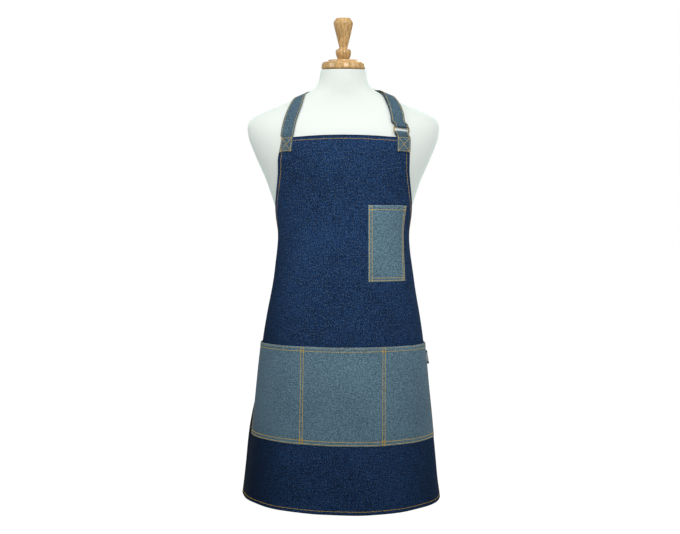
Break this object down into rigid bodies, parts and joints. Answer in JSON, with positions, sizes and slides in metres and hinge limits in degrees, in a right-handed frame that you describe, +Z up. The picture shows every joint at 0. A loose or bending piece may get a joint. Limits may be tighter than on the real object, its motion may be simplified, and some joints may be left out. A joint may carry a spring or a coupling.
{
  "type": "bib apron on dress form",
  "caption": "Bib apron with chest and waist pockets, ringed neck strap and back ties, worn by a half-body dress form with a turned wooden neck cap on a low adjustable stand.",
  "frame": {"origin": "centre of the stand's underside, on the stand's axis, in the plane it rests on", "axes": "+Z up; the form faces -Y; +X is towards the form's own left arm, which is on a viewer's right"},
  "size_m": [0.4632, 0.3397, 1.1196],
  "materials": {
    "denim": "matte indigo denim twill",
    "chambray": "matte grey-blue chambray",
    "label": "woven label, blank",
    "jersey": "matte off-white knit",
    "shell": "glass-fibre shell",
    "maple": "turned, clear satin lacquer",
    "plywood": "bare",
    "brass": "antiqued",
    "steel": "satin",
    "black_steel": "satin black",
    "black_plastic": "matte",
    "nylon": "natural",
    "rubber": "matte"
  },
  "bodies": {
    "stand": {"base_pad": "rubber", "base_plate": "black_steel", "plate_bolt": "steel", "tube_foot": "black_steel", "stand_tube": "black_steel", "clamp_collar": "black_plastic"},
    "clamp": {"clamp_screw": "steel", "clamp_knob": "black_plastic"},
    "post": {"inner_post": "steel", "post_plug": "nylon", "stop_collar": "steel", "stop_collar_screw": "black_steel", "thrust_washer": "nylon"},
    "form": {"torso_shell": "shell", "jersey_cover": "jersey", "base_board": "plywood", "swivel_socket": "steel", "socket_cap": "steel", "socket_screw_1": "steel", "socket_screw_2": "steel", "socket_screw_3": "steel", "socket_screw_4": "steel", "neck_block": "plywood", "neck_cap": "maple", "apron_panel": "denim", "waist_pocket": "chambray", "chest_pocket": "chambray", "side_label": "label", "ring_tab": "chambray", "neck_strap": "chambray", "waist_tie_left": "chambray", "waist_tie_right": "chambray", "tie_bow": "chambray"},
    "finial": {"finial": "maple", "finial_stud": "steel"},
    "ring": {"strap_ring": "brass"},
    "slider": {"strap_slider": "brass"}
  },
  "joints": [
    {"name": "height", "type": "slide", "parent": "stand", "child": "post", "axis": [0, 0, 1], "range_m": [0, 0.12]},
    {"name": "clamp_turn", "type": "hinge", "parent": "stand", "child": "clamp", "pos_m": [0, 0.03, 0.216], "axis": [0, 1, 0], "range_deg": [0, 180]},
    {"name": "form_swivel", "type": "hinge", "parent": "post", "child": "form", "pos_m": [0, 0, 0.4], "axis": [0, 0, 1], "continuous": true},
    {"name": "finial_unscrew", "type": "hinge", "parent": "form", "child": "finial", "pos_m": [0, 0, 1.001], "axis": [0, -0.0872, 0.9962], "continuous": true},
    {"name": "ring_swing", "type": "hinge", "parent": "form", "child": "ring", "pos_m": [0.13115, -0.08423, 0.84737], "axis": [0.9733, 0.2058, -0.1012], "range_deg": [0, 25], "deforming": ["neck_strap"]},
    {"name": "strap_adjust", "type": "hinge", "parent": "form", "child": "slider", "pos_m": [0, -0.0015, 0.957], "axis": [0, 0, 1], "range_deg": [-15, 8], "deforming": ["neck_strap"]}
  ]
}
